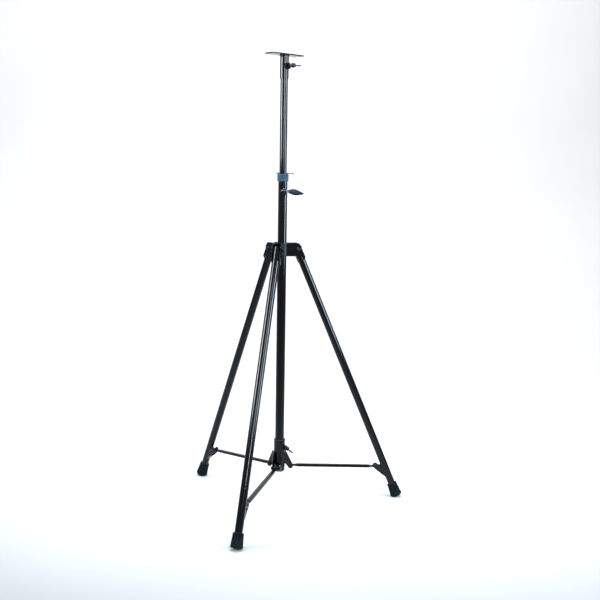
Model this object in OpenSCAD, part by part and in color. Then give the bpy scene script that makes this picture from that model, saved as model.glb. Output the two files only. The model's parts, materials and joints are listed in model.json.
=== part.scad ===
// Speaker tripod stand: three folding legs, a sliding brace collar, a telescopic mast and a
// turning head with a flat mounting plate. Millimetres. Origin on the floor under the mast
// axis, +Z up, +X along the head plate's long side. Legs stand at 90, 210 and 330 degrees.

/* [Stand] */
// height of the head plate's top face above the floor
stand_h = 1690; // [1600:5:1960]
// height of the leg pivots above the floor
yoke_z = 984; // [950:1:1020]
// mast axis to the middle of a foot's end face
foot_r = 477.5; // [430:0.5:520]
// height of the collar's top, where the mast comes out of the main tube
collar_top = 1260; // [1230:1:1300]
// height of the main tube's lower end
tube_low = 137.4; // [130:0.1:145]
// mast axis to the leg pivots
yoke_r = 58; // [56:0.5:62]

/* [Tubes] */
// main tube outside diameter
main_d = 34; // [33.9:0.05:34.1]
// main tube wall
main_wall = 1.6; // [1.2:0.1:1.6]
// mast outside diameter
mast_d = 27.2; // [27:0.1:27.3]
// mast wall
mast_wall = 1.6; // [1.2:0.1:2]
// leg tube outside diameter
leg_d = 28.6; // [27:0.1:28.6]
// leg tube wall
leg_wall = 1.4; // [1:0.1:2]
// height of the mast's lower end inside the main tube
mast_low = 690; // [600:5:720]

/* [Brace collar] */
// height of the brace pivots on the sliding collar, stand open
slider_z = 155; // [152:0.5:158]
// mast axis to the brace pivots
slider_r = 41; // [40:0.5:43]
// sliding collar outside diameter
sleeve_d = 42.5; // [42:0.1:43]
// sliding collar sleeve length
sleeve_l = 118.5; // [110:0.5:130]
// height of the sliding collar's wing bolt, stand open
wing_z = 230; // [222:1:235]

/* [Braces] */
// leg pivot to brace pivot, along the leg
brace_s = 916.2; // [890:0.2:930]
// brace pivot inward of the leg's axis
brace_n = 33; // [31:0.5:36]
// brace channel width
brace_w = 15; // [12:0.5:16]
// brace channel height
brace_h = 10; // [8:0.5:12]
// brace sheet thickness
brace_t = 1.6; // [1.2:0.1:2]
// pivot pin diameter
pin_d = 8; // [7:0.5:8]

/* [Head] */
// plate length along X
plate_l = 150; // [140:1:200]
// plate width along Y
plate_w = 50; // [46:1:90]
// plate thickness
plate_t = 4.5; // [3:0.5:6]
// mounting hole spacing along X
hole_x = 120; // [100:1:130]
// mounting hole spacing along Y
hole_y = 32; // [28:1:36]
// mounting hole diameter
hole_d = 7; // [5:0.5:8]
// head sleeve outside diameter
head_d = 32; // [31:0.1:33]
// head sleeve length below the plate
head_l = 82.5; // [76:0.5:110]
// wing bolt's depth below the plate top
head_bolt_drop = 43; // [36:1:46]

/* [Clamp] */
// height of the clamp lever's screw
lever_z = 1198; // [1190:1:1204]
// direction the clamp screw points, degrees about Z
lever_az = 238; // [230:0.5:250]
// length of the lever from its screw to its tip
lever_l = 72; // [66:1:84]
// clamp and wing bolt thread diameter
screw_d = 10; // [9:0.5:10]
// safety pin diameter
safety_d = 5; // [4:0.5:5]

/* [Hidden] */
$fn = 64;
// a shaft turning or sliding in its hole: radial clearance
run = 0.06;
// gap left between separate moving faces
gap = 0.3;
main_r = main_d / 2;
main_ri = main_r - main_wall;
mast_r = mast_d / 2;
leg_r = leg_d / 2;
pin_r = pin_d / 2;
screw_r = screw_d / 2;
sleeve_r = sleeve_d / 2;
sleeve_ri = main_r + 2;
// end face of a foot: its middle sits this high because the leg leans
foot_z = 6.3;
splay = atan2(foot_r - yoke_r, yoke_z - foot_z);
leg_l = sqrt(pow(foot_r - yoke_r, 2) + pow(yoke_z - foot_z, 2));
// brace pivot on the leg, radius and height
bp_r = yoke_r + brace_s * sin(splay) - brace_n * cos(splay);
bp_z = yoke_z - brace_s * cos(splay) - brace_n * sin(splay);
brace_l = sqrt(pow(bp_r - slider_r, 2) + pow(slider_z - bp_z, 2));
brace_dip = atan2(slider_z - bp_z, bp_r - slider_r);
// half gaps between the paired plates, plate thickness
yoke_in = leg_r + 2.35;
yoke_t = 2.3;
ear_in = 11.2;
ear_t = 2.5;
br_in = 8.3;
br_t = 2;
nose_r = main_r + 5.5;
band_r = sleeve_r + 2.4;
rear = 90;
left = 210;
right = 330;
legs = [rear, left, right];
black = [0.05, 0.05, 0.055];
steel = [0.72, 0.73, 0.75];
plastic = [0.10, 0.16, 0.22];
rubber = [0.06, 0.07, 0.08];

// a tube between two heights
module pipe(r, ri, z0, z1) {
    difference() {
        translate([0, 0, z0]) cylinder(r = r, h = z1 - z0);
        translate([0, 0, z0 - 1]) cylinder(r = ri, h = z1 - z0 + 2);
    }
}
// a round bar pointing out of the mast axis along local X
module spoke(az, z, r, d0, d1) {
    rotate([0, 0, az]) translate([d0, 0, z]) rotate([0, 90, 0]) cylinder(r = r, h = d1 - d0);
}
// a round bar along local Y, centred on a point of the X-Z plane
module cross(x, z, r, y0, y1) {
    translate([x, y1, z]) rotate([90, 0, 0]) cylinder(r = r, h = y1 - y0);
}
// a flat plate standing in the X-Z plane between two Y values
module web(points, y0, y1) {
    translate([0, y1, 0]) rotate([90, 0, 0]) linear_extrude(y1 - y0) polygon(points);
}
// part of a ring seen from above
module sector(r, ri, a0, a1, z0, z1) {
    rotate([0, 0, a0]) rotate_extrude(angle = a1 - a0, $fn = 96) translate([ri, z0])
        square([r - ri, z1 - z0]);
}
// a leg's own frame: local Z runs up the leg from its pivot, local X points outward
module leg_frame(az) {
    rotate([0, 0, az]) translate([yoke_r, 0, yoke_z]) rotate([0, -splay, 0]) children();
}
// a brace's own frame: local X runs from the collar pivot to the leg pivot
module brace_frame(az) {
    rotate([0, 0, az]) translate([slider_r, 0, slider_z]) rotate([0, brace_dip, 0]) children();
}

// ---- column ----
module main_tube() color(black) difference() {
    pipe(main_r, main_ri, tube_low, collar_top - 12);
    spoke(lever_az, lever_z, screw_r + 0.6, 5, main_r + 5);
}
module tube_end_plug() color(plastic) {
    translate([0, 0, tube_low - 3.4]) cylinder(r = main_r + 1.5, h = 3.4);
    pipe(main_ri, main_ri - 3, tube_low, tube_low + 22);
}
module mast_collar() color(plastic) difference() {
    rotate_extrude() polygon([[mast_r + run, collar_top - 12], [mast_r + run, collar_top],
        [20, collar_top], [21, collar_top - 1], [21, collar_top - 25], [19.6, collar_top - 27],
        [main_r, collar_top - 27], [main_r, collar_top - 12]]);
}
module clamp_saddle() color(black) difference() {
    sector(main_r + 2.2, main_r - 2, lever_az - 52, lever_az + 52, lever_z - 28, lever_z + 28);
    translate([0, 0, lever_z - 40]) cylinder(r = main_r, h = 80);
    spoke(lever_az, lever_z, screw_r + 0.6, 5, main_r + 8);
}
module clamp_nut() color(black) difference() {
    spoke(lever_az, lever_z, 9.5, main_r - 4, main_r + 9.5);
    translate([0, 0, lever_z - 20]) cylinder(r = main_r + 2.2, h = 40);
    spoke(lever_az, lever_z, screw_r + run, 5, main_r + 12);
}
module yoke_arm(y0, y1) {
    web([[12, yoke_z - 26], [yoke_r + 4, yoke_z - 26], [yoke_r + 13, yoke_z - 8],
        [yoke_r + 13, yoke_z + 10], [yoke_r + 2, yoke_z + 23], [12, yoke_z + 23]], y0, y1);
}
module yoke_brackets() color(black) difference() {
    union() {
        for (a = legs) {
            rotate([0, 0, a]) {
                yoke_arm(yoke_in, yoke_in + yoke_t);
                yoke_arm(-yoke_in - yoke_t, -yoke_in);
            }
            sector(nose_r, main_r - 2, a + 36, a + 84, yoke_z - 26, yoke_z + 23);
        }
    }
    translate([0, 0, yoke_z - 60]) cylinder(r = main_r, h = 120);
    for (a = legs) {
        rotate([0, 0, a]) cross(yoke_r, yoke_z, pin_r, -30, 30);
        for (h = [-16, 4, 15]) {
            spoke(a + 60, yoke_z + h, 2.5, 10, 40);
            spoke(a + 60, yoke_z + h, 3.6, nose_r - 0.4, 40);
        }
    }
}
module yoke_rivets() color(steel) for (a = legs) for (h = [-16, 4, 15]) difference() {
    union() {
        spoke(a + 60, yoke_z + h, 2.5, main_r - 2, nose_r - 0.4);
        spoke(a + 60, yoke_z + h, 3.6, nose_r - 0.4, nose_r + 2.4);
    }
    translate([0, 0, yoke_z - 40]) cylinder(r = main_r, h = 80);
}
module yoke_pivot_bolts() color(steel) for (a = legs) rotate([0, 0, a]) {
    cross(yoke_r, yoke_z, pin_r, -yoke_in - yoke_t, -yoke_in);
    cross(yoke_r, yoke_z, 6.5, -yoke_in - yoke_t - 4.5, -yoke_in - yoke_t);
}
module yoke_pivot_nuts() color(steel) for (a = legs) rotate([0, 0, a]) {
    cross(yoke_r, yoke_z, pin_r, yoke_in, yoke_in + yoke_t);
    cross(yoke_r, yoke_z, 6.5, yoke_in + yoke_t, yoke_in + yoke_t + 5);
}

// ---- sliding brace collar ----
module slider_sleeve() color(black) difference() {
    pipe(sleeve_r, sleeve_ri, tube_low + 1.1, tube_low + 1.1 + sleeve_l);
    spoke(270, wing_z, screw_r + 0.6, 5, sleeve_r + 5);
}
module slider_bush() color(plastic) difference() {
    union() {
        pipe(sleeve_ri, main_r + run, tube_low + gap, tube_low + 1.1 + sleeve_l + 3);
        pipe(sleeve_r + 1, main_r + run, tube_low + 1.1 + sleeve_l, tube_low + 4.1 + sleeve_l);
    }
    spoke(270, wing_z, screw_r + 0.6, 5, sleeve_r + 5);
}
module ear(y0, y1) {
    cross(slider_r, slider_z, 11, y0, y1);
    web([[16, slider_z + 59], [24, slider_z + 59], [slider_r + 10, slider_z + 3.5],
        [slider_r, slider_z], [slider_r - 7, slider_z - 7.8], [16, slider_z + 6]], y0, y1);
}
module slider_brackets() color(black) difference() {
    union() {
        translate([0, 0, slider_z + 10]) cylinder(r = band_r, h = 46);
        for (a = legs) rotate([0, 0, a]) {
            ear(ear_in, ear_in + ear_t);
            ear(-ear_in - ear_t, -ear_in);
        }
    }
    translate([0, 0, slider_z - 20]) cylinder(r = sleeve_r, h = 100);
    for (a = legs) {
        rotate([0, 0, a]) cross(slider_r, slider_z, pin_r, -30, 30);
        for (h = [16, 48]) {
            spoke(a + 60, slider_z + h, 2.5, 10, 40);
            spoke(a + 60, slider_z + h, 4, band_r - 0.5, 40);
        }
    }
}
module slider_rivets() color(steel) for (a = legs) for (h = [16, 48]) difference() {
    union() {
        spoke(a + 60, slider_z + h, 2.5, sleeve_r - 2, band_r - 0.5);
        spoke(a + 60, slider_z + h, 4, band_r - 0.5, band_r + 1.8);
    }
    translate([0, 0, slider_z]) cylinder(r = sleeve_r, h = 80);
}
module slider_nut() color(black) difference() {
    spoke(270, wing_z, 10, sleeve_r - 5, sleeve_r + 8);
    translate([0, 0, wing_z - 20]) cylinder(r = sleeve_r, h = 40);
    spoke(270, wing_z, screw_r + run, 5, sleeve_r + 12);
}
module slider_pivot_bolts() color(steel) for (a = legs) rotate([0, 0, a]) {
    cross(slider_r, slider_z, pin_r, -ear_in - ear_t, ear_in + ear_t);
    cross(slider_r, slider_z, 6.5, -ear_in - ear_t - 4, -ear_in - ear_t);
}
module slider_pivot_nuts() color(steel) for (a = legs) rotate([0, 0, a])
    cross(slider_r, slider_z, 6.5, ear_in + ear_t, ear_in + ear_t + 5);
// a wing bolt pointing out along local X: threaded shank, hub and two flat wings
module wing_bolt(az, z, d0, d1, turn) {
    rotate([0, 0, az]) translate([0, 0, z]) rotate([turn, 0, 0]) {
        translate([d0, 0, 0]) rotate([0, 90, 0]) cylinder(r = screw_r, h = d1 - d0);
        translate([d1, 0, 0]) rotate([0, 90, 0]) cylinder(r = 8.5, h = 14);
        for (m = [0, 1]) mirror([0, m, 0]) translate([0, 0, -2]) linear_extrude(4)
            polygon([[d1 + 3, 4], [d1 + 6, 20], [d1 + 11, 25], [d1 + 20, 25.5],
                [d1 + 22, 21], [d1 + 18, 12], [d1 + 13.5, 6], [d1 + 12, 4]]);
    }
}
module slider_wing_bolt() color(steel) wing_bolt(270, wing_z, main_r + gap, sleeve_r + 15, -45);

// ---- braces ----
module brace(az) color(black) brace_frame(az) difference() {
    union() {
        cross(0, 0, 8, -ear_in + gap, ear_in - gap);
        cross(brace_l, 0, 8, -br_in + gap, br_in - gap);
        translate([4, -4.5, -3.5]) cube([brace_l - 8, 9, 7]);
        translate([18, -brace_w / 2, -brace_h / 2]) cube([brace_l - 36, brace_w, brace_h]);
    }
    cross(0, 0, pin_r + run, -30, 30);
    cross(brace_l, 0, pin_r + run, -30, 30);
    translate([24, -brace_w / 2 + brace_t, -brace_h / 2 - 1])
        cube([brace_l - 48, brace_w - 2 * brace_t, brace_h + 1 - brace_t]);
}
module brace_rear() brace(rear);
module brace_left() brace(left);
module brace_right() brace(right);

// ---- legs ----
module leg_tube(az) color(black) leg_frame(az) difference() {
    pipe(leg_r, leg_r - leg_wall, -leg_l + 10, 10);
    cross(0, 0, 7, -30, 30);
    cross(0, -36, 3, -30, 30);
}
module leg_tube_rear() leg_tube(rear);
module leg_tube_left() leg_tube(left);
module leg_tube_right() leg_tube(right);
module top_plate(y0, y1) {
    cross(0, 0, leg_r, y0, y1);
    web([[-leg_r, 0], [leg_r, 0], [leg_r + 1, -40], [-leg_r, -54]], y0, y1);
}
module leg_top_plates(az) color(black) leg_frame(az) difference() {
    union() {
        top_plate(leg_r, leg_r + 2);
        top_plate(-leg_r - 2, -leg_r);
    }
    cross(0, 0, 7, -30, 30);
    cross(0, -36, 3, -30, 30);
}
module leg_top_plates_rear() leg_top_plates(rear);
module leg_top_plates_left() leg_top_plates(left);
module leg_top_plates_right() leg_top_plates(right);
module leg_top_rivet(az) color(steel) leg_frame(az) {
    cross(0, -36, 3, -leg_r - 2, leg_r + 2);
    cross(0, -36, 5, leg_r + 2, leg_r + 4);
    cross(0, -36, 5, -leg_r - 4, -leg_r - 2);
}
module leg_top_rivet_rear() leg_top_rivet(rear);
module leg_top_rivet_left() leg_top_rivet(left);
module leg_top_rivet_right() leg_top_rivet(right);
module leg_pivot_bush(az) color(steel) leg_frame(az) difference() {
    cross(0, 0, 7, -leg_r - 2, leg_r + 2);
    cross(0, 0, pin_r + 0.2, -30, 30);
}
module leg_pivot_bush_rear() leg_pivot_bush(rear);
module leg_pivot_bush_left() leg_pivot_bush(left);
module leg_pivot_bush_right() leg_pivot_bush(right);
module bracket_side(y0, y1) {
    cross(-brace_n, -brace_s, 10.5, y0, y1);
    web([[-8, -brace_s - 6], [-brace_n + 5, -brace_s + 9], [-brace_n, -brace_s],
        [-brace_n - 9.2, -brace_s - 4.4], [-8, -brace_s - 68]], y0, y1);
}
module leg_bracket(az) color(black) leg_frame(az) difference() {
    union() {
        bracket_side(br_in, br_in + br_t);
        bracket_side(-br_in - br_t, -br_in);
        translate([-18, -br_in - br_t, -brace_s - 58]) cube([10, 2 * (br_in + br_t), 26]);
    }
    translate([0, 0, -brace_s - 90]) cylinder(r = leg_r, h = 120);
    cross(-brace_n, -brace_s, pin_r, -30, 30);
    cross(-24.5, -brace_s - 14, 2.5, -30, 30);
}
module leg_bracket_rear() leg_bracket(rear);
module leg_bracket_left() leg_bracket(left);
module leg_bracket_right() leg_bracket(right);
module leg_bracket_pins(az) color(steel) leg_frame(az) {
    for (p = [[-brace_n, -brace_s, pin_r, 6.5], [-24.5, -brace_s - 14, 2.5, 4.5]]) {
        cross(p[0], p[1], p[2], -br_in - br_t, br_in + br_t);
        cross(p[0], p[1], p[3], br_in + br_t, br_in + br_t + 3);
        cross(p[0], p[1], p[3], -br_in - br_t - 3, -br_in - br_t);
    }
}
module leg_bracket_pins_rear() leg_bracket_pins(rear);
module leg_bracket_pins_left() leg_bracket_pins(left);
module leg_bracket_pins_right() leg_bracket_pins(right);
module rubber_foot(az) color(rubber) difference() {
    leg_frame(az) translate([0, 0, -leg_l]) rotate_extrude() polygon([[0, 0], [18.6, 0],
        [21.4, 1.4], [22.6, 4.4], [22.4, 10], [19.6, 40], [19, 52], [leg_r, 52],
        [leg_r, 10], [0, 10]]);
    translate([-700, -700, -60]) cube([1400, 1400, 60]);
}
module rubber_foot_rear() rubber_foot(rear);
module rubber_foot_left() rubber_foot(left);
module rubber_foot_right() rubber_foot(right);

// ---- mast ----
safety_az = -40;
safety_z = collar_top + safety_d / 2 + gap;
mast_top = stand_h - plate_t - 2;
module mast_tube() color(black) difference() {
    pipe(mast_r, mast_r - mast_wall, mast_low, mast_top);
    spoke(safety_az, safety_z, safety_d / 2 + run, -30, 30);
}
module mast_bottom_bush() color(plastic) {
    pipe(main_ri - run, mast_r, mast_low, mast_low + 30);
    pipe(main_ri - run, mast_r - mast_wall, mast_low - 3, mast_low);
}
module mast_top_plug() color(plastic) {
    pipe(mast_r - mast_wall, mast_r - mast_wall - 3, mast_top - 20, mast_top);
    translate([0, 0, mast_top]) cylinder(r = mast_r - 0.4, h = 2 - gap);
}
module safety_pin() color(steel) {
    spoke(safety_az, safety_z, safety_d / 2, -28, 36);
    spoke(safety_az, safety_z, safety_d / 2 + 1.2, 36, 40);
}

// ---- head ----
head_bolt_z = stand_h - head_bolt_drop;
module head_sleeve() color(black) difference() {
    pipe(head_d / 2, mast_r + run, stand_h - plate_t - head_l, stand_h - plate_t);
    spoke(270, head_bolt_z, screw_r + 0.6, 5, head_d);
}
module head_plate() color(black) difference() {
    translate([-plate_l / 2, -plate_w / 2, stand_h - plate_t]) cube([plate_l, plate_w, plate_t]);
    for (x = [-1, 1]) for (y = [-1, 1]) translate([x * hole_x / 2, y * hole_y / 2,
        stand_h - plate_t - 1]) cylinder(d = hole_d, h = plate_t + 2);
}
module head_nut() color(black) difference() {
    spoke(270, head_bolt_z, 12, head_d / 2 - 5, head_d / 2 + 8);
    translate([0, 0, head_bolt_z - 20]) cylinder(r = head_d / 2, h = 40);
    spoke(270, head_bolt_z, screw_r + run, 5, head_d);
}
module head_wing_bolt() color(steel) wing_bolt(270, head_bolt_z, mast_r + gap,
    head_d / 2 + 26, 0);

// ---- mast clamp lever ----
hub_d0 = main_r + 10.2;
module lever_frame() rotate([0, 0, lever_az]) translate([0, 0, lever_z]) children();
module clamp_screw() color(steel) spoke(lever_az, lever_z, screw_r, mast_r + gap, hub_d0);
module lever_hub() color(steel) lever_frame() {
    translate([hub_d0, 0, 0]) rotate([0, 90, 0]) cylinder(r = 7, h = 15);
    rotate([-7, 0, 0]) translate([hub_d0 + 8, 0, 0]) rotate([-90, 0, 0]) cylinder(r = 4.5, h = 18);
}
module lever_grip() color(plastic) lever_frame() rotate([-7, 0, 0])
    translate([hub_d0 + 12.5, 0, 0]) rotate([0, -90, 0]) rotate([0, 0, 90])
    linear_extrude(9) polygon([[18, 5], [25, 8.5], [34, 10.5], [46, 9.5], [lever_l - 11, 6],
        [lever_l, 1.5], [lever_l, -2], [lever_l - 11, -7.5], [46, -11], [34, -11.5], [25, -9],
        [18, -5.5]]);

main_tube();
tube_end_plug();
mast_collar();
clamp_saddle();
clamp_nut();
yoke_brackets();
yoke_rivets();
yoke_pivot_bolts();
yoke_pivot_nuts();
slider_sleeve();
slider_bush();
slider_brackets();
slider_rivets();
slider_nut();
slider_pivot_bolts();
slider_pivot_nuts();
slider_wing_bolt();
brace_rear();
brace_left();
brace_right();
leg_tube_rear();
leg_top_plates_rear();
leg_top_rivet_rear();
leg_pivot_bush_rear();
leg_bracket_rear();
leg_bracket_pins_rear();
rubber_foot_rear();
leg_tube_left();
leg_top_plates_left();
leg_top_rivet_left();
leg_pivot_bush_left();
leg_bracket_left();
leg_bracket_pins_left();
rubber_foot_left();
leg_tube_right();
leg_top_plates_right();
leg_top_rivet_right();
leg_pivot_bush_right();
leg_bracket_right();
leg_bracket_pins_right();
rubber_foot_right();
mast_tube();
mast_bottom_bush();
mast_top_plug();
safety_pin();
head_sleeve();
head_plate();
head_nut();
head_wing_bolt();
clamp_screw();
lever_hub();
lever_grip();
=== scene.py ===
import json
import math
import random

import bpy
import bmesh
from mathutils import Matrix, Vector


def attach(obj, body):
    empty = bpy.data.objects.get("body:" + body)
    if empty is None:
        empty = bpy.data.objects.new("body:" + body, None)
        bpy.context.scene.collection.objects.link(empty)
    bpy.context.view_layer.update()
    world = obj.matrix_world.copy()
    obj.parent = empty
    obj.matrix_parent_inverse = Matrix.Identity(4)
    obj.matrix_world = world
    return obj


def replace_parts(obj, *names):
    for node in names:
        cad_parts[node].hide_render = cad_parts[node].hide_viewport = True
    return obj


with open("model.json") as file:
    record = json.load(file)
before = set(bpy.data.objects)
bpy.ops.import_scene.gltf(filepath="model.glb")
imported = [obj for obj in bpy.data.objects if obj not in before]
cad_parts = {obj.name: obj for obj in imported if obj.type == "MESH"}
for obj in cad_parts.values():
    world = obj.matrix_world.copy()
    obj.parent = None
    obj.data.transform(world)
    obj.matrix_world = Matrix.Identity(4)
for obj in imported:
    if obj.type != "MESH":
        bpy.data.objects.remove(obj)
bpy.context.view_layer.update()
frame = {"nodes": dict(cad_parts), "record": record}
nodes = frame["nodes"]
MM = 0.001

# ---- the stand's own dimensions, in millimetres, as in the CAD source ----
STAND_H = 1690.0                    # top of the head plate
COLLAR_TOP = 1260.0                 # top of the mast collar
TUBE_LOW = 137.4                    # lower end of the main tube
MAST_LOW = 690.0                    # lower end of the mast
YOKE_Z, YOKE_R = 984.0, 58.0        # leg pivots: height, distance from the axis
FOOT_Z, FOOT_R = 6.3, 477.5         # leg ends: height, distance from the axis
SLIDER_Z, SLIDER_R = 155.0, 41.0    # brace pivots on the sliding collar
BRACE_S, BRACE_N = 916.2, 33.0      # brace pivot on a leg: along it, and inward of it
MAIN_R, MAST_R, LEG_R = 17.0, 13.6, 14.3
SLEEVE_R, SLEEVE_LEN = 21.25, 118.5
PLATE_T = 4.5
WING_Z = 230.0                      # wing bolt of the sliding collar
HEAD_BOLT_Z = STAND_H - 43          # wing bolt of the head
LEVER_Z, LEVER_AZ = 1198.0, 238.0   # mast clamp
PIN_AZ = -40.0                      # safety pin

SPLAY = math.atan2(FOOT_R - YOKE_R, YOKE_Z - FOOT_Z)
LEG_L = math.hypot(FOOT_R - YOKE_R, YOKE_Z - FOOT_Z)
BP_R = YOKE_R + BRACE_S * math.sin(SPLAY) - BRACE_N * math.cos(SPLAY)
BP_Z = YOKE_Z - BRACE_S * math.cos(SPLAY) - BRACE_N * math.sin(SPLAY)
BRACE_L = math.hypot(BP_R - SLIDER_R, SLIDER_Z - BP_Z)
BRACE_DIP = math.atan2(SLIDER_Z - BP_Z, BP_R - SLIDER_R)
LEGS = {"rear": 90.0, "left": 210.0, "right": 330.0}
ARM_STEP = 120                      # degrees from one leg to the next


# ---- materials ----
def noise(nt, scale, detail=3.0):
    tc = nt.nodes.new("ShaderNodeTexCoord")
    n = nt.nodes.new("ShaderNodeTexNoise")
    n.inputs["Scale"].default_value = scale
    n.inputs["Detail"].default_value = detail
    nt.links.new(tc.outputs["Object"], n.inputs["Vector"])
    return n


def ramp(nt, src, stops):
    r = nt.nodes.new("ShaderNodeValToRGB")
    for e, (position, color) in zip(r.color_ramp.elements, stops):
        e.position = position
        e.color = (*color, 1.0)
    nt.links.new(src, r.inputs["Fac"])
    return r


def material(name, dark, light, metallic, rough, grain, bump, bump_grain, specular=0.5):
    """Colour and roughness wander between two values; a fine grain lifts the surface."""
    m = bpy.data.materials.new(name)
    m.use_nodes = True
    nt = m.node_tree
    shader = nt.nodes["Principled BSDF"]
    color = ramp(nt, noise(nt, grain).outputs["Fac"], [(0.3, dark), (0.7, light)])
    nt.links.new(color.outputs["Color"], shader.inputs["Base Color"])
    spread = nt.nodes.new("ShaderNodeMapRange")
    spread.inputs["From Min"].default_value = 0.3
    spread.inputs["From Max"].default_value = 0.7
    spread.inputs["To Min"].default_value = rough[0]
    spread.inputs["To Max"].default_value = rough[1]
    nt.links.new(noise(nt, grain * 3.1, 4.0).outputs["Fac"], spread.inputs["Value"])
    nt.links.new(spread.outputs["Result"], shader.inputs["Roughness"])
    shader.inputs["Metallic"].default_value = metallic
    shader.inputs["Specular IOR Level"].default_value = specular
    relief = nt.nodes.new("ShaderNodeBump")
    relief.inputs["Strength"].default_value = bump
    relief.inputs["Distance"].default_value = 0.0004
    nt.links.new(noise(nt, bump_grain, 2.0).outputs["Fac"], relief.inputs["Height"])
    nt.links.new(relief.outputs["Normal"], shader.inputs["Normal"])
    return m


MAT = {
    "black_paint": material(
        "powder_coat_black", (0.0009, 0.0011, 0.0015), (0.0020, 0.0024, 0.0030), 0.0,
        rough=(0.09, 0.15), grain=14, bump=0.02, bump_grain=1400, specular=0.26),
    "dark_zinc_steel": material(
        "blackened_zinc", (0.008, 0.010, 0.013), (0.022, 0.026, 0.032), 0.85,
        rough=(0.24, 0.38), grain=120, bump=0.1, bump_grain=700),
    "bright_zinc_steel": material(
        "bright_zinc", (0.13, 0.20, 0.27), (0.22, 0.31, 0.39), 1.0,
        rough=(0.18, 0.32), grain=90, bump=0.08, bump_grain=900),
    "collar_plastic": material(
        "blue_grey_plastic", (0.006, 0.028, 0.050), (0.011, 0.043, 0.074), 0.0,
        rough=(0.34, 0.45), grain=40, bump=0.12, bump_grain=800, specular=0.25),
    "grip_plastic": material(
        "navy_plastic", (0.0007, 0.0058, 0.016), (0.0016, 0.0105, 0.028), 0.0,
        rough=(0.30, 0.42), grain=50, bump=0.15, bump_grain=1000, specular=0.14),
    "black_nylon": material(
        "black_nylon", (0.012, 0.013, 0.016), (0.022, 0.024, 0.028), 0.0,
        rough=(0.42, 0.55), grain=60, bump=0.1, bump_grain=700, specular=0.2),
    "foot_rubber": material(
        "foot_rubber", (0.0012, 0.0036, 0.0065), (0.0026, 0.0068, 0.011), 0.0,
        rough=(0.45, 0.58), grain=70, bump=0.2, bump_grain=600, specular=0.12),
}
SLOT_OF = {s["node"]: s["material_slot"] for s in frame["record"]["subparts"]}


def paint(o, slot):
    o.data.materials.clear()
    o.data.materials.append(MAT[slot])
    return o


def smooth(o, angle):
    """Shades faces smooth, but for edges sharper than the angle."""
    me = o.data
    for p in me.polygons:
        p.use_smooth = True
    bm = bmesh.new()
    bm.from_mesh(me)
    limit = math.radians(angle)
    for e in bm.edges:
        e.smooth = len(e.link_faces) == 2 and e.calc_face_angle(0.0) < limit
    bm.to_mesh(me)
    bm.free()


# ---- frames ----
NO_TURN = Matrix.Identity(4)
FLIP = Matrix.Rotation(math.pi, 4, "X")
ACROSS = Matrix.Rotation(math.radians(-90), 4, "X")    # +Z to local +Y: a bar across a leg
OUTWARD = Matrix.Rotation(math.radians(90), 4, "Y")    # +Z to local +X: a bar pointing outward
TO_XZ = Matrix.Rotation(math.radians(90), 4, "X")      # an outline's y becomes the leg's z


def at(x, y, z):
    return Matrix.Translation(Vector((x, y, z)) * MM)


def az_frame(az, z=0.0):
    return Matrix.Rotation(math.radians(az), 4, "Z") @ at(0, 0, z)


def leg_frame(az):
    """Origin on the leg's pivot, -Z down the leg."""
    return az_frame(az) @ at(YOKE_R, 0, YOKE_Z) @ Matrix.Rotation(-SPLAY, 4, "Y")


def brace_frame(az):
    """Origin on the brace's inner pivot, +X along the brace."""
    return az_frame(az) @ at(SLIDER_R, 0, SLIDER_Z) @ Matrix.Rotation(BRACE_DIP, 4, "Y")


def facing_out(frame_of_arm, x, y, z):
    """A place on a bar across an arm, +Z pointing away from the arm's middle."""
    place = frame_of_arm @ at(x, y, z) @ ACROSS
    return place if y > 0 else place @ FLIP


# ---- mesh builders; every one returns a mesh object in the row frame ----
def round_edges(o, width, angle, segments=2):
    for p in o.data.polygons:
        p.use_smooth = True
    m = o.modifiers.new("edge", "BEVEL")
    m.width = width * MM
    m.segments = segments
    m.limit_method = "ANGLE"
    m.angle_limit = math.radians(angle)
    m.harden_normals = True


def emit(name, bm, matrix, slot, body, angle=32.0, bevel=0.0, segments=2):
    """Turns a mesh in millimetres into a painted object that rides on a body."""
    me = bpy.data.meshes.new(name)
    bmesh.ops.recalc_face_normals(bm, faces=bm.faces)
    bmesh.ops.scale(bm, vec=(MM, MM, MM), verts=bm.verts)
    bmesh.ops.transform(bm, matrix=matrix, verts=bm.verts)
    bm.to_mesh(me)
    bm.free()
    o = bpy.data.objects.new(name, me)
    bpy.context.scene.collection.objects.link(o)
    paint(o, slot)
    if bevel:
        round_edges(o, bevel, angle, segments)
    else:
        smooth(o, angle)
    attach(o, body)
    return o


def add_skin(bm, rings, closed):
    """Quads between rings of vertices; closed joins the last ring to the first."""
    pairs = list(zip(rings, rings[1:]))
    if closed:
        pairs.append((rings[-1], rings[0]))
    for p, q in pairs:
        for j in range(len(p)):
            m = (j + 1) % len(p)
            bm.faces.new([p[j], q[j], q[m], p[m]])
    if not closed:
        bm.faces.new(rings[0])
        bm.faces.new(rings[-1][::-1])


def add_lathe(bm, profile, segs=64, rib=0, depth=0.0, ribbed=(0, 0)):
    """Closed profile of (radius, height); rib grooves of that depth where ribbed in the profile."""
    rings = []
    for i in range(segs):
        a = 2 * math.pi * i / segs
        groove = depth * (math.cos(rib * a) - 1) / 2
        ring = []
        for j, (r, z) in enumerate(profile):
            rr = r + (groove if ribbed[0] <= j <= ribbed[1] else 0.0)
            ring.append(bm.verts.new((rr * math.cos(a), rr * math.sin(a), z)))
        rings.append(ring)
    on_axis = [r < 1e-6 for r, z in profile]
    for a, b in zip(rings, rings[1:] + rings[:1]):
        for j in range(len(profile)):
            k = (j + 1) % len(profile)
            if on_axis[j] and on_axis[k]:
                continue
            quad = [a[j], b[j], b[k], a[k]]
            if on_axis[j]:
                quad = [a[j], b[k], a[k]]
            elif on_axis[k]:
                quad = [a[j], b[j], a[k]]
            bm.faces.new(quad)
    bmesh.ops.remove_doubles(bm, verts=bm.verts, dist=1e-5)


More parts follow.
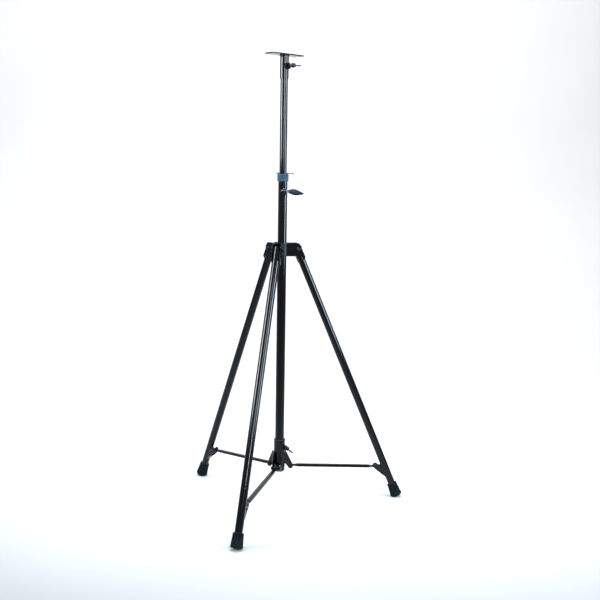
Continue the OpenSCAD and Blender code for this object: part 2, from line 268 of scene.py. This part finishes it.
def add_prism(bm, pts, z0, z1):
    """A closed outline of (x, y), pushed from z0 to z1."""
    lo = [bm.verts.new((x, y, z0)) for x, y in pts]
    hi = [bm.verts.new((x, y, z1)) for x, y in pts]
    bm.faces.new(lo[::-1])
    bm.faces.new(hi)
    for i in range(len(pts)):
        j = (i + 1) % len(pts)
        bm.faces.new([lo[i], lo[j], hi[j], hi[i]])


def pipe_profile(r, ri, z0, z1, c=0.5):
    return [(ri, z0 + c * 0.6), (ri + c * 0.6, z0), (r - c, z0), (r, z0 + c), (r, z1 - c),
            (r - c, z1), (ri + c * 0.6, z1), (ri, z1 - c * 0.6)]


def rod_profile(r, z0, z1, c=0.6):
    return [(0, z0), (r - c, z0), (r - c * 0.3, z0 + c * 0.3), (r, z0 + c), (r, z1 - c),
            (r - c * 0.3, z1 - c * 0.3), (r - c, z1), (0, z1)]


def arc(cx, cy, r, a0, a1, n):
    return [(cx + r * math.cos(math.radians(a0 + (a1 - a0) * i / n)),
             cy + r * math.sin(math.radians(a0 + (a1 - a0) * i / n))) for i in range(n + 1)]


def hexagon(across_flats):
    r = across_flats / math.sqrt(3)
    return [(r * math.cos(math.pi / 6 + i * math.pi / 3), r * math.sin(math.pi / 6 + i * math.pi / 3))
            for i in range(6)]


def lathe(name, profile, matrix, slot, body, segs=72, rib=0, depth=0.0, ribbed=(0, 0), angle=32.0):
    bm = bmesh.new()
    add_lathe(bm, profile, segs, rib, depth, ribbed)
    return emit(name, bm, matrix, slot, body, angle)


def plate(name, pts, z0, z1, matrix, slot, body, bevel=0.5, segments=2):
    bm = bmesh.new()
    add_prism(bm, pts, z0, z1)
    return emit(name, bm, matrix, slot, body, 32.0, bevel, segments)


def ribbon(bm, path, t):
    """A bent strip: path of (x, y, z top, z bottom), thickness t across it."""
    rows = []
    for i, (x, y, zt, zb) in enumerate(path):
        x0, y0 = path[max(i - 1, 0)][:2]
        x1, y1 = path[min(i + 1, len(path) - 1)][:2]
        d = math.hypot(x1 - x0, y1 - y0)
        nx = -(y1 - y0) / d * t / 2
        ny = (x1 - x0) / d * t / 2
        rows.append([bm.verts.new(v) for v in ((x + nx, y + ny, zt), (x + nx, y + ny, zb),
                                               (x - nx, y - ny, zb), (x - nx, y - ny, zt))])
    add_skin(bm, rows, closed=False)


def mirrored_corner(half, turn):
    """The path of one arm, then its mirror image on the next arm round."""
    c = math.cos(math.radians(turn))
    s = math.sin(math.radians(turn))
    return half + [(x * c + y * s, x * s - y * c, zt, zb) for x, y, zt, zb in reversed(half)]


def fillet_half(y, radius, turn, steps=4):
    """Where a wall at offset y rounds off towards the next arm's wall."""
    half = math.radians(turn / 2)
    centre = (y + radius) / math.sin(half)
    out = []
    for i in range(steps + 1):
        a = math.radians(270) - i / steps * (math.radians(90) - half)
        out.append((centre * math.cos(half) + radius * math.cos(a),
                    centre * math.sin(half) + radius * math.sin(a)))
    return out


def dome(name, r, h, matrix, slot, body):
    """A rivet head or pin end, its flat side at the frame's origin."""
    pts = [(0, 0), (r, 0)] + [(r * math.cos(math.radians(a)), h * math.sin(math.radians(a)))
                              for a in (20, 40, 60, 78)] + [(0, h)]
    return lathe(name, pts, matrix, slot, body, 32, angle=50)


def hex_head(name, af, h, matrix, slot, body):
    """A hexagon head on a washer, its underside at the frame's origin, rising along +Z."""
    bm = bmesh.new()
    add_lathe(bm, [(0, 0), (af * 0.64, 0), (af * 0.66, 0.3), (af * 0.66, 1.0), (af * 0.6, 1.3),
                   (0, 1.3)], 40)
    add_prism(bm, hexagon(af), 1.1, h)
    return emit(name, bm, matrix, slot, body, 32.0, 0.35)


def bead(name, r, minor, matrix, slot, body, seed):
    """A weld bead round a joint."""
    bm = bmesh.new()
    around = 120
    section = 8
    phase = random.Random(seed).random() * 6
    rings = []
    for i in range(around):
        a = 2 * math.pi * i / around
        w = minor * (1 + 0.16 * math.sin(26 * a + phase) + 0.08 * math.sin(7 * a + phase))
        ring = []
        for j in range(section):
            b = 2 * math.pi * j / section
            out = r + w * math.cos(b)
            ring.append(bm.verts.new((out * math.cos(a), out * math.sin(a), w * math.sin(b))))
        rings.append(ring)
    add_skin(bm, rings, closed=True)
    return emit(name, bm, matrix, slot, body, 80.0)


def loft(name, stations, matrix, slot, body, n=32, power=2.0):
    """Sections along +Y: (y, x centre, z centre, half width in x, half height in z)."""
    bm = bmesh.new()
    rings = []
    for y, cx, cz, hx, hz in stations:
        ring = []
        for i in range(n):
            a = 2 * math.pi * i / n
            ca, sa = math.cos(a), math.sin(a)
            ring.append(bm.verts.new((cx + hx * math.copysign(abs(ca) ** (2 / power), ca), y,
                                      cz + hz * math.copysign(abs(sa) ** (2 / power), sa))))
        rings.append(ring)
    add_skin(bm, rings, closed=False)
    return emit(name, bm, matrix, slot, body, 40.0)


# ---- column ----
YOKE_TOP, YOKE_BOTTOM = YOKE_Z + 23, YOKE_Z - 26
YOKE_PLATE_Y = 17.8        # middle of a yoke plate, from the arm's middle
YOKE_OUT = 18.95           # outer face of a yoke plate


def main_tube():
    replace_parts(lathe("v_main_tube", pipe_profile(MAIN_R, 15.4, TUBE_LOW, COLLAR_TOP - 12), NO_TURN,
                      "black_paint", "column", 96), "main_tube")


def tube_end_plug():
    z = TUBE_LOW
    profile = [(0, z - 3.4), (17.2, z - 3.4), (18.2, z - 2.8), (18.5, z - 2), (18.5, z - 0.1),
               (15.3, z - 0.1), (15.3, z + 22), (12.4, z + 22), (12.4, z), (0, z)]
    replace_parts(lathe("v_tube_end_plug", profile, NO_TURN, "black_nylon", "column"), "tube_end_plug")


def mast_collar():
    z = COLLAR_TOP
    profile = [(13.7, z - 12), (13.7, z - 0.8), (14.4, z), (19.4, z), (20.3, z - 0.4), (20.9, z - 1.2),
               (21.0, z - 2.4), (21.0, z - 3), (21.0, z - 23), (21.0, z - 24.2), (20.7, z - 25.4),
               (19.8, z - 26.8), (19.2, z - 27), (17.05, z - 27), (17.05, z - 12)]
    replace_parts(lathe("v_mast_collar", profile, NO_TURN, "collar_plastic", "column", 288, rib=20,
                      depth=1.2, ribbed=(7, 9), angle=60), "mast_collar")


def yoke_arm(x):
    """Top and bottom of a yoke plate, with both outer corners cut."""
    return YOKE_TOP - max(0.0, x - 60) * 13 / 11.0, YOKE_BOTTOM + max(0.0, x - 62) * 18 / 9.0


def yoke_path():
    half = [(x, YOKE_PLATE_Y, *yoke_arm(x)) for x in (71, 70, 68, 65, 62, 61, 60, 58, 50, 40, 28)]
    half += [(x, y, YOKE_TOP, YOKE_BOTTOM) for x, y in fillet_half(YOKE_PLATE_Y, 5.0, ARM_STEP)]
    return mirrored_corner(half[:-1], ARM_STEP)


def yoke():
    bm = bmesh.new()
    add_lathe(bm, pipe_profile(20.2, MAIN_R, YOKE_BOTTOM + 0.6, YOKE_TOP - 0.6, 0.4), 96)
    emit("v_yoke_hub", bm, NO_TURN, "black_paint", "column")
    for k, az in enumerate(LEGS.values()):
        bm = bmesh.new()
        ribbon(bm, yoke_path(), 2.3)
        o = emit("v_yoke_bracket_%d" % k, bm, az_frame(az), "black_paint", "column", 32.0, 0.45)
        if k == 0:
            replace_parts(o, "yoke_brackets")
        for i, h in enumerate((-16, 4, 15)):
            o = dome("v_yoke_rivet_%d_%d" % (k, i), 3.7, 2.2,
                     az_frame(az + ARM_STEP / 2, YOKE_Z + h) @ OUTWARD @ at(0, 0, 22.2),
                     "dark_zinc_steel", "column")
            if k == 0 and i == 0:
                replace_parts(o, "yoke_rivets")
        f = az_frame(az, YOKE_Z) @ at(YOKE_R, 0, 0)
        o = hex_head("v_yoke_bolt_%d" % k, 12, 5.0, facing_out(f, 0, -YOKE_OUT, 0),
                     "dark_zinc_steel", "column")
        if k == 0:
            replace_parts(o, "yoke_pivot_bolts")
        o = hex_head("v_yoke_nut_%d" % k, 13, 6.0, facing_out(f, 0, YOKE_OUT, 0),
                     "dark_zinc_steel", "column")
        dome("v_yoke_bolt_end_%d" % k, 3.9, 1.6, facing_out(f, 0, YOKE_OUT + 5.75, 0),
             "dark_zinc_steel", "column")
        dome("v_yoke_bolt_face_%d" % k, 3.4, 0.7, facing_out(f, 0, -YOKE_OUT - 4.95, 0),
             "dark_zinc_steel", "column")
        if k == 0:
            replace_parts(o, "yoke_pivot_nuts")


main_tube()
tube_end_plug()
mast_collar()
yoke()

# ---- sliding brace collar ----
SLEEVE_LOW = TUBE_LOW + 1.1
SLEEVE_TOP = SLEEVE_LOW + SLEEVE_LEN
EAR_R = 11.0               # the ears' round end, about the brace pivot
EAR_Y = 12.45              # middle of an ear, from the arm's middle
BAND_R = 22.45             # middle of the band that joins the ears
EAR_OUT = 13.7             # outer face of an ear


def slider_sleeve():
    profile = pipe_profile(SLEEVE_R, 19.0, SLEEVE_LOW, SLEEVE_TOP, 0.8)
    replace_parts(lathe("v_slider_sleeve", profile, NO_TURN, "black_paint", "slider", 96),
                "slider_sleeve")


def slider_bush():
    low, top = TUBE_LOW + 0.3, SLEEVE_TOP
    profile = [(17.1, low), (19.0, low), (19.0, top), (22.0, top), (22.25, top + 0.6),
               (22.0, top + 2), (20.6, top + 3), (17.6, top + 3), (17.1, top + 2.4)]
    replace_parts(lathe("v_slider_bush", profile, NO_TURN, "black_nylon", "slider", 96), "slider_bush")


def ear(x):
    """Top and bottom of an ear: a slope down to the round end, and a step up behind it."""
    top = SLIDER_Z + 59 - max(0.0, x - 24) * (59 - 3.5) / 27.0
    low = SLIDER_Z + 8
    if x >= 34:
        rise = math.sqrt(max(0.0, EAR_R ** 2 - (x - SLIDER_R) ** 2))
        low = SLIDER_Z - rise
        if x > SLIDER_R + 8:
            top = min(top, SLIDER_Z + rise)
    elif x > 23:
        low -= (x - 23) * (8 + math.sqrt(EAR_R ** 2 - 49)) / 11.0
    top = max(top, SLIDER_Z + 0.05)
    return top, min(low, top - 0.1)


def slider_path():
    half = [(x, EAR_Y, *ear(x))
            for x in (51.97, 51.8, 51.3, 50.5, 49, 47, 44, 41, 38, 36, 34, 31, 28, 25.5)]
    half += [(23.2, 12.7, SLIDER_Z + 58, SLIDER_Z + 8.5), (21.2, 13.6, SLIDER_Z + 57, SLIDER_Z + 9)]
    start = math.asin(EAR_Y / BAND_R)
    for more in (5, 9, 14, 19, 24):
        a = start + math.radians(more)
        half.append((BAND_R * math.cos(a), BAND_R * math.sin(a), SLIDER_Z + 56.5, SLIDER_Z + 9.5))
    return mirrored_corner(half, ARM_STEP)


def slider_brackets():
    for k, az in enumerate(LEGS.values()):
        bm = bmesh.new()
        ribbon(bm, slider_path(), 2.5)
        o = emit("v_slider_bracket_%d" % k, bm, az_frame(az), "black_paint", "slider", 32.0, 0.5)
        if k == 0:
            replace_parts(o, "slider_brackets")
        for i, h in enumerate((16, 48)):
            o = dome("v_slider_rivet_%d_%d" % (k, i), 4.0, 1.8,
                     az_frame(az + ARM_STEP / 2, SLIDER_Z + h) @ OUTWARD @ at(0, 0, 23.6),
                     "dark_zinc_steel", "slider")
            if k == 0 and i == 0:
                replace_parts(o, "slider_rivets")
        f = az_frame(az, SLIDER_Z) @ at(SLIDER_R, 0, 0)
        o = hex_head("v_slider_bolt_%d" % k, 12.5, 5.0, facing_out(f, 0, -EAR_OUT, 0),
                     "dark_zinc_steel", "slider")
        lathe("v_slider_shank_%d" % k, rod_profile(3.95, 0.1 - EAR_OUT, 20), f @ ACROSS,
              "dark_zinc_steel", "slider", 32)
        if k == 0:
            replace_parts(o, "slider_pivot_bolts")
        o = hex_head("v_slider_bolt_nut_%d" % k, 13, 6.0, facing_out(f, 0, EAR_OUT, 0),
                     "dark_zinc_steel", "slider")
        if k == 0:
            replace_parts(o, "slider_pivot_nuts")


slider_sleeve()
slider_bush()
slider_brackets()


# ---- wing bolts and welded bosses ----
def wing_bolt(name, az, z, d0, d1, turn, node, body):
    """A bolt pointing at the axis, its end at distance d0 and its wings from d1 outward."""
    f = az_frame(az, z) @ Matrix.Rotation(math.radians(turn), 4, "X")
    o = lathe(name + "_shank", rod_profile(4.85, d0, d1 + 2, 1.0), f @ OUTWARD,
              "dark_zinc_steel", body, 40)
    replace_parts(o, node)
    hub = [(0, 0), (7.4, 0), (8.3, 0.8), (8.5, 2.5), (8.1, 7), (7.2, 11.5), (6.0, 13.4), (4.4, 14),
           (0, 14.2)]
    lathe(name + "_hub", [(r, d1 + z) for r, z in hub], f @ OUTWARD, "dark_zinc_steel", body, 48,
          angle=50)
    wing = [(2.5, 3), (4, 9), (6.2, 17), (8.6, 22.6), (12, 25.2), (16, 25.9), (19.6, 25.2),
            (21.6, 22.6), (21.4, 19), (19.2, 14.4), (16.4, 10), (13.8, 6.4), (12.4, 3)]
    for m, side in enumerate((1, -1)):
        plate("%s_wing_%d" % (name, m), [(d1 + x, y * side) for x, y in wing], -1.9, 1.9, f,
              "dark_zinc_steel", body, 1.3, 3)


def boss(name, az, z, r, d0, d1, node, body, weld_at, seed):
    f = az_frame(az, z) @ OUTWARD
    o = lathe(name, [(5.0, d0), (r, d0), (r, d1 - 1.2), (r - 1.2, d1), (6.0, d1), (5.0, d1 - 0.8)], f,
              "black_paint", body, 64)
    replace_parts(o, node)
    bead(name + "_weld", r + 0.1, 1.3, f @ at(0, 0, weld_at), "black_paint", body, seed)


wing_bolt("v_slider_wing_bolt", 270, WING_Z, 17.4, SLEEVE_R + 15, -45, "slider_wing_bolt", "slider_bolt")
wing_bolt("v_head_wing_bolt", 270, HEAD_BOLT_Z, 13.9, 42, 0, "head_wing_bolt", "head_bolt")
boss("v_slider_nut", 270, WING_Z, 10, 19.2, SLEEVE_R + 8, "slider_nut", "slider", 20.4, 1)
boss("v_head_nut", 270, HEAD_BOLT_Z, 12, 12.2, 24, "head_nut", "head", 14.0, 2)
boss("v_clamp_nut", LEVER_AZ, LEVER_Z, 9.5, 17.2, MAIN_R + 9.5, "clamp_nut", "column", 19.6, 3)

# ---- braces ----
CHANNEL_T = 1.6


def channel_section(x, w, h, c=2.0):
    """An open channel, its two bent corners of radius c."""
    a, b = w / 2, h / 2
    section = [(-a, -b), (-a, b - c), (-a + c * 0.3, b - c * 0.3), (-a + c, b), (a - c, b),
               (a - c * 0.3, b - c * 0.3), (a, b - c), (a, -b), (a - CHANNEL_T, -b),
               (a - CHANNEL_T, b - CHANNEL_T - 0.4), (-a + CHANNEL_T, b - CHANNEL_T - 0.4),
               (-a + CHANNEL_T, -b)]
    return [(x, y, z) for y, z in section]


def brace_channel(name, f, body):
    """Full width in the middle, pinched towards the eye at each end: (x, width, height)."""
    end = [(5, 9, 7), (12, 9, 7), (19, 9.6, 7.2), (25, 12, 8.4), (31, 14.6, 9.8), (36, 15, 10)]
    stations = end + [(BRACE_L - x, w, h) for x, w, h in reversed(end)]
    bm = bmesh.new()
    add_skin(bm, [[bm.verts.new(p) for p in channel_section(*s)] for s in stations], closed=False)
    return emit("v_brace_" + name, bm, f, "black_paint", body, 40.0)


for name, az in LEGS.items():
    body = "brace_%s_body" % name
    f = brace_frame(az)
    o = brace_channel(name, f, body)
    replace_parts(o, "brace_" + name)
    for i, (x, half) in enumerate(((0, 10.9), (BRACE_L, 8))):
        lathe("v_brace_eye_%s_%d" % (name, i), pipe_profile(8, 4.06, -half, half, 0.6),
              f @ at(x, 0, 0) @ ACROSS, "black_paint", body, 48)

# ---- legs ----
TOP_PLATE_IN, BRACKET_IN, SHEET_T = 14.3, 8.3, 2.0


def leg_tube(name, f, body):
    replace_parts(lathe("v_leg_tube_" + name, pipe_profile(LEG_R, 12.9, -LEG_L + 10, 10), f,
                      "black_paint", body, 96), "leg_tube_" + name)


def side_plates(kind, name, outline, inner, f, body):
    """Two equal plates, one on each side of the tube; the first is returned."""
    pair = [plate("v_leg_%s_%s_%d" % (kind, name, i), outline, low, low + SHEET_T, f @ TO_XZ,
                  "black_paint", body, 0.4)
            for i, low in enumerate((-inner - SHEET_T, inner))]
    return pair[0]


def leg_top(name, f, body):
    outline = arc(0, 0, LEG_R, 0, 180, 20) + [
        (-14.3, -30), (-14.3, -52), (-13.4, -53.6), (-11, -53.2), (13.2, -41), (15.1, -39), (15.3, -36),
        (14.9, -20)]
    o = side_plates("top_plate", name, outline, TOP_PLATE_IN, f, body)
    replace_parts(o, "leg_top_plates_" + name)
    for i, side in enumerate((1, -1)):
        o = dome("v_leg_top_rivet_%s_%d" % (name, i), 5, 2,
                 facing_out(f, 0, side * (TOP_PLATE_IN + SHEET_T), -36), "dark_zinc_steel", body)
        if i == 0:
            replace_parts(o, "leg_top_rivet_" + name)


def leg_bracket(name, f, body):
    s = -BRACE_S
    outline = [(-9.6, s - 6), (-18, s - 3.6), (-22.6, s + 1)] + arc(-BRACE_N, s, 10.5, 10, 205, 22)
    outline += [(-38, s - 14), (-9.6, s - 67), (-8, s - 66)]
    o = side_plates("bracket", name, outline, BRACKET_IN, f, body)
    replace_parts(o, "leg_bracket_" + name)
    web = [(-14, s - 33), (-26.3, s - 33), (-27.6, s - 34.4), (-12.6, s - 61), (-10, s - 61)]
    plate("v_leg_bracket_web_" + name, web, -8.4, 8.4, f @ TO_XZ, "black_paint", body, 0.4)
    reach = BRACKET_IN + SHEET_T
    pins = ((-BRACE_N, s, 6.5, 3.95), (-24.5, s - 14, 4.5, 2.5))
    for i, (x, z, head_r, shank_r) in enumerate(pins):
        lathe("v_leg_pin_shank_%s_%d" % (name, i), rod_profile(shank_r, -reach, reach, 0.3),
              f @ at(x, 0, z) @ ACROSS, "dark_zinc_steel", body, 32)
        for j, side in enumerate((1, -1)):
            o = dome("v_leg_pin_%s_%d_%d" % (name, i, j), head_r, 2.9,
                     facing_out(f, x, side * reach, z), "dark_zinc_steel", body)
            if i == 0 and j == 0:
                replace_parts(o, "leg_bracket_pins_" + name)


def rubber_foot(name, f, body):
    """A ribbed cap over the tube's end, worn flat where it stands on the floor."""
    profile = [(0, 0), (17.4, 0), (19.6, 0.5), (21.4, 1.7), (22.4, 3.4), (22.7, 5.4), (22.5, 7.6),
               (22.0, 8.8), (21.8, 10), (19.6, 40), (19.3, 45), (19.6, 46), (19.6, 50.4),
               (19.0, 51.6), (17.6, 52), (14.4, 52), (14.4, 10), (0, 10)]
    bm = bmesh.new()
    add_lathe(bm, profile, 288, rib=48, depth=0.9, ribbed=(8, 10))
    o = emit("v_rubber_foot_" + name, bm, f @ at(0, 0, -LEG_L), "foot_rubber", body, 50.0)
    for v in o.data.vertices:
        v.co.z = max(v.co.z, 0.0)
    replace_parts(o, "rubber_foot_" + name)


for name, az in LEGS.items():
    body = "leg_" + name
    f = leg_frame(az)
    leg_tube(name, f, body)
    leg_top(name, f, body)
    leg_bracket(name, f, body)
    rubber_foot(name, f, body)

# ---- mast and head ----
HEAD_LOW, PLATE_LOW = STAND_H - 87, STAND_H - PLATE_T


def mast_tube():
    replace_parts(lathe("v_mast_tube", pipe_profile(MAST_R, 12.0, MAST_LOW, STAND_H - 6.5), NO_TURN,
                      "black_paint", "mast", 96), "mast_tube")


def head_sleeve():
    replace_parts(lathe("v_head_sleeve", pipe_profile(16.0, 13.68, HEAD_LOW, PLATE_LOW, 0.7), NO_TURN,
                      "black_paint", "head", 96), "head_sleeve")
    bead("v_head_weld", 16.4, 1.6, at(0, 0, PLATE_LOW - 0.8), "black_paint", "head", 5)


def head_plate(half_x=75, half_y=25, corner=3, hole_x=60, hole_y=16, hole_r=3.5):
    bm = bmesh.new()
    outline = []
    for sx, sy, a in ((1, 1, 0), (-1, 1, 90), (-1, -1, 180), (1, -1, 270)):
        outline += arc(sx * (half_x - corner), sy * (half_y - corner), corner, a, a + 90, 5)
    add_prism(bm, outline, PLATE_LOW, STAND_H)
    o = emit("v_head_plate", bm, NO_TURN, "black_paint", "head", 32.0)
    cut = bmesh.new()
    for x in (-hole_x, hole_x):
        for y in (-hole_y, hole_y):
            add_prism(cut, arc(x, y, hole_r, 0, 360, 32)[:-1], STAND_H - 8, STAND_H + 4)
    bmesh.ops.scale(cut, vec=(MM, MM, MM), verts=cut.verts)
    bmesh.ops.recalc_face_normals(cut, faces=cut.faces)
    me = bpy.data.meshes.new("cutter")
    cut.to_mesh(me)
    cut.free()
    cutter = bpy.data.objects.new("cutter", me)
    bpy.context.scene.collection.objects.link(cutter)
    m = o.modifiers.new("holes", "BOOLEAN")
    m.object = cutter
    m.solver = "EXACT"
    depsgraph = bpy.context.evaluated_depsgraph_get()
    drilled = bpy.data.meshes.new_from_object(o.evaluated_get(depsgraph))
    o.modifiers.clear()
    o.data = drilled
    bpy.data.objects.remove(cutter)
    round_edges(o, 0.6, 30)
    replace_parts(o, "head_plate")


mast_tube()
head_sleeve()
head_plate()


# ---- safety pin ----
def safety_pin():
    profile = [(0, -28), (1.4, -28), (2.2, -27.2), (2.5, -26), (2.5, 35.6), (3.4, 36), (3.7, 36.8),
               (3.7, 39), (3.2, 39.8), (0, 40)]
    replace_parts(lathe("v_safety_pin", profile, az_frame(PIN_AZ, COLLAR_TOP + 2.8) @ OUTWARD,
                      "bright_zinc_steel", "safety", 40), "safety_pin")


safety_pin()

# ---- clamp lever ----
LEVER = az_frame(LEVER_AZ, LEVER_Z)
HUB_FROM = MAIN_R + 10.2                    # the hub's inner face, from the axis
GRIP_X = HUB_FROM + 8                       # the neck and grip's middle, from the axis
LEVER_DROOP = LEVER @ Matrix.Rotation(math.radians(-7), 4, "X")


def clamp_screw():
    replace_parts(lathe("v_clamp_screw", rod_profile(4.9, 13.9, HUB_FROM + 1, 0.8), LEVER @ OUTWARD,
                      "bright_zinc_steel", "lever", 40), "clamp_screw")


def lever_hub():
    hub = [(0, 0), (5.6, 0), (6.6, 0.8), (7.0, 2.4), (7.0, 11), (6.6, 13), (5.4, 14.4), (3.6, 15),
           (0, 15)]
    o = lathe("v_lever_hub", [(r, HUB_FROM + d) for r, d in hub], LEVER @ OUTWARD, "black_paint",
              "lever", 48)
    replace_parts(o, "lever_hub")
    neck = [(3, 1.5, 5.0, 5.6), (7, 1.5, 4.8, 5.4), (12, 1.7, 4.2, 4.9), (15, 1.9, 4.0, 4.7),
            (18, 2, 3.8, 4.7)]
    loft("v_lever_neck", [(y, GRIP_X, z, hx, hz) for y, z, hx, hz in neck], LEVER_DROOP,
         "bright_zinc_steel", "lever")


def lever_grip():
    """A leaf: (distance from the hub, top, bottom, half thickness)."""
    leaf = ((14.2, 7.2, -3.6, 3.9), (15.4, 7.9, -4.3, 4.4), (20, 9.5, -5.8, 4.6), (25, 11.2, -7.5, 4.6),
            (31, 12.3, -9.0, 4.6), (36, 12.6, -9.8, 4.6), (42, 11.9, -9.9, 4.5), (48, 10.4, -9.0, 4.4),
            (54, 8.3, -7.6, 4.2), (60, 6.2, -5.9, 3.9), (65, 4.5, -4.3, 3.5), (69, 3.0, -3.0, 2.8),
            (71.0, 2.1, -2.1, 1.9), (72.0, 1.0, -1.2, 0.8))
    stations = [(y, GRIP_X, (zt + zb) / 2, hx, (zt - zb) / 2) for y, zt, zb, hx in leaf]
    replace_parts(loft("v_lever_grip", stations, LEVER_DROOP, "grip_plastic", "lever", 40, 2.6), "lever_grip")


clamp_screw()
lever_hub()
lever_grip()

# ---- CAD nodes still shown ----
for n, o in nodes.items():
    if not o.hide_render:
        paint(o, SLOT_OF[n])

# ---- room and lights, in metres, turned so that the view looks along +Y ----
ROOM_TURN = Matrix.Rotation(math.radians(-43.25), 4, "Z")


def room(half_width=9.0, near=-9.0, wall_foot=2.6, sweep=1.6, wall_top=7.0):
    """A pale floor that sweeps up into a wall."""
    m = bpy.data.materials.new("pale_room")
    m.use_nodes = True
    nt = m.node_tree
    shader = nt.nodes["Principled BSDF"]
    color = ramp(nt, noise(nt, 1.3).outputs["Fac"],
                 [(0.35, (0.745, 0.745, 0.75)), (0.65, (0.77, 0.77, 0.77))])
    nt.links.new(color.outputs["Color"], shader.inputs["Base Color"])
    shader.inputs["Roughness"].default_value = 0.9
    shader.inputs["Specular IOR Level"].default_value = 0.1
    profile = [(near, 0.0), (wall_foot, 0.0)]
    profile += [(wall_foot + sweep * math.sin(math.radians(t)), sweep * (1 - math.cos(math.radians(t))))
                for t in range(6, 91, 6)]
    profile.append((wall_foot + sweep, wall_top))
    bm = bmesh.new()
    left, right = [[bm.verts.new((x, y, z)) for y, z in profile] for x in (-half_width, half_width)]
    for i in range(len(profile) - 1):
        bm.faces.new([left[i], right[i], right[i + 1], left[i + 1]])
    bmesh.ops.transform(bm, matrix=ROOM_TURN, verts=bm.verts)
    me = bpy.data.meshes.new("room")
    bm.to_mesh(me)
    bm.free()
    for p in me.polygons:
        p.use_smooth = True
    me.materials.append(m)
    o = bpy.data.objects.new("room", me)
    bpy.context.scene.collection.objects.link(o)


def area(name, spot, aim, size, power, color, spread):
    d = bpy.data.lights.new(name, "AREA")
    d.shape = "RECTANGLE"
    d.size, d.size_y = size
    d.energy = power
    d.spread = math.radians(spread)
    d.color = color
    o = bpy.data.objects.new(name, d)
    bpy.context.scene.collection.objects.link(o)
    place = ROOM_TURN @ Vector(spot)
    o.location = place
    o.rotation_euler = (ROOM_TURN @ Vector(aim) - place).to_track_quat("-Z", "Y").to_euler()


room()
area("strip_left", (-2.28, -0.85, 2.0), (0, 0, 1.5), (0.55, 1.35), 27, (0.90, 0.96, 1.0), 70)
area("strip_right", (2.23, -0.90, 1.65), (0, 0, 1.25), (0.45, 1.9), 27, (0.50, 0.74, 1.0), 70)
area("strip_front", (0.80, -2.85, 2.1), (0, 0, 1.5), (0.22, 1.5), 16, (1.0, 0.98, 0.96), 70)
area("overhead", (0.0, 0.2, 3.9), (0, 0.4, 0), (2.6, 2.6), 42, (0.90, 0.96, 1.0), 115)
area("backdrop_wash", (0.0, 0.6, 5.2), (0, 4.2, 1.2), (6.0, 2.0), 150, (1, 1, 1), 120)

world = bpy.data.worlds.new("studio")
bpy.context.scene.world = world
world.use_nodes = True
sky = world.node_tree.nodes["Background"]
sky.inputs["Color"].default_value = (0.93, 0.96, 1.0, 1.0)
sky.inputs["Strength"].default_value = 0.36
bpy.context.scene.view_settings.view_transform = "Standard"


# ---- camera ----
def camera(around, distance, height, yaw, pitch, roll, lens):
    """Turned round the stand by a bearing; yaw, pitch and roll in radians aim it."""
    data = bpy.data.cameras.new("camera")
    cam = bpy.data.objects.new("camera", data)
    bpy.context.scene.collection.objects.link(cam)
    bpy.context.scene.camera = cam
    fwd = Vector((math.sin(yaw) * math.cos(pitch), math.cos(yaw) * math.cos(pitch), -math.sin(pitch)))
    level = Vector((math.cos(yaw), -math.sin(yaw), 0))
    plumb = level.cross(fwd)
    right = math.cos(roll) * level + math.sin(roll) * plumb
    up = math.cos(roll) * plumb - math.sin(roll) * level
    aim = Matrix((right, up, -fwd)).transposed().to_4x4()
    bearing = Matrix.Rotation(math.radians(around), 4, "Z")
    cam.matrix_world = bearing @ Matrix.Translation((0, -distance, height)) @ aim
    data.sensor_width = 36.0
    data.lens = lens
    data.dof.use_dof = False
    data.clip_end = 60.0


camera(-42.834, 3.5757, 1.2778, yaw=0.0195, pitch=0.1345, roll=0.0157, lens=57.906)
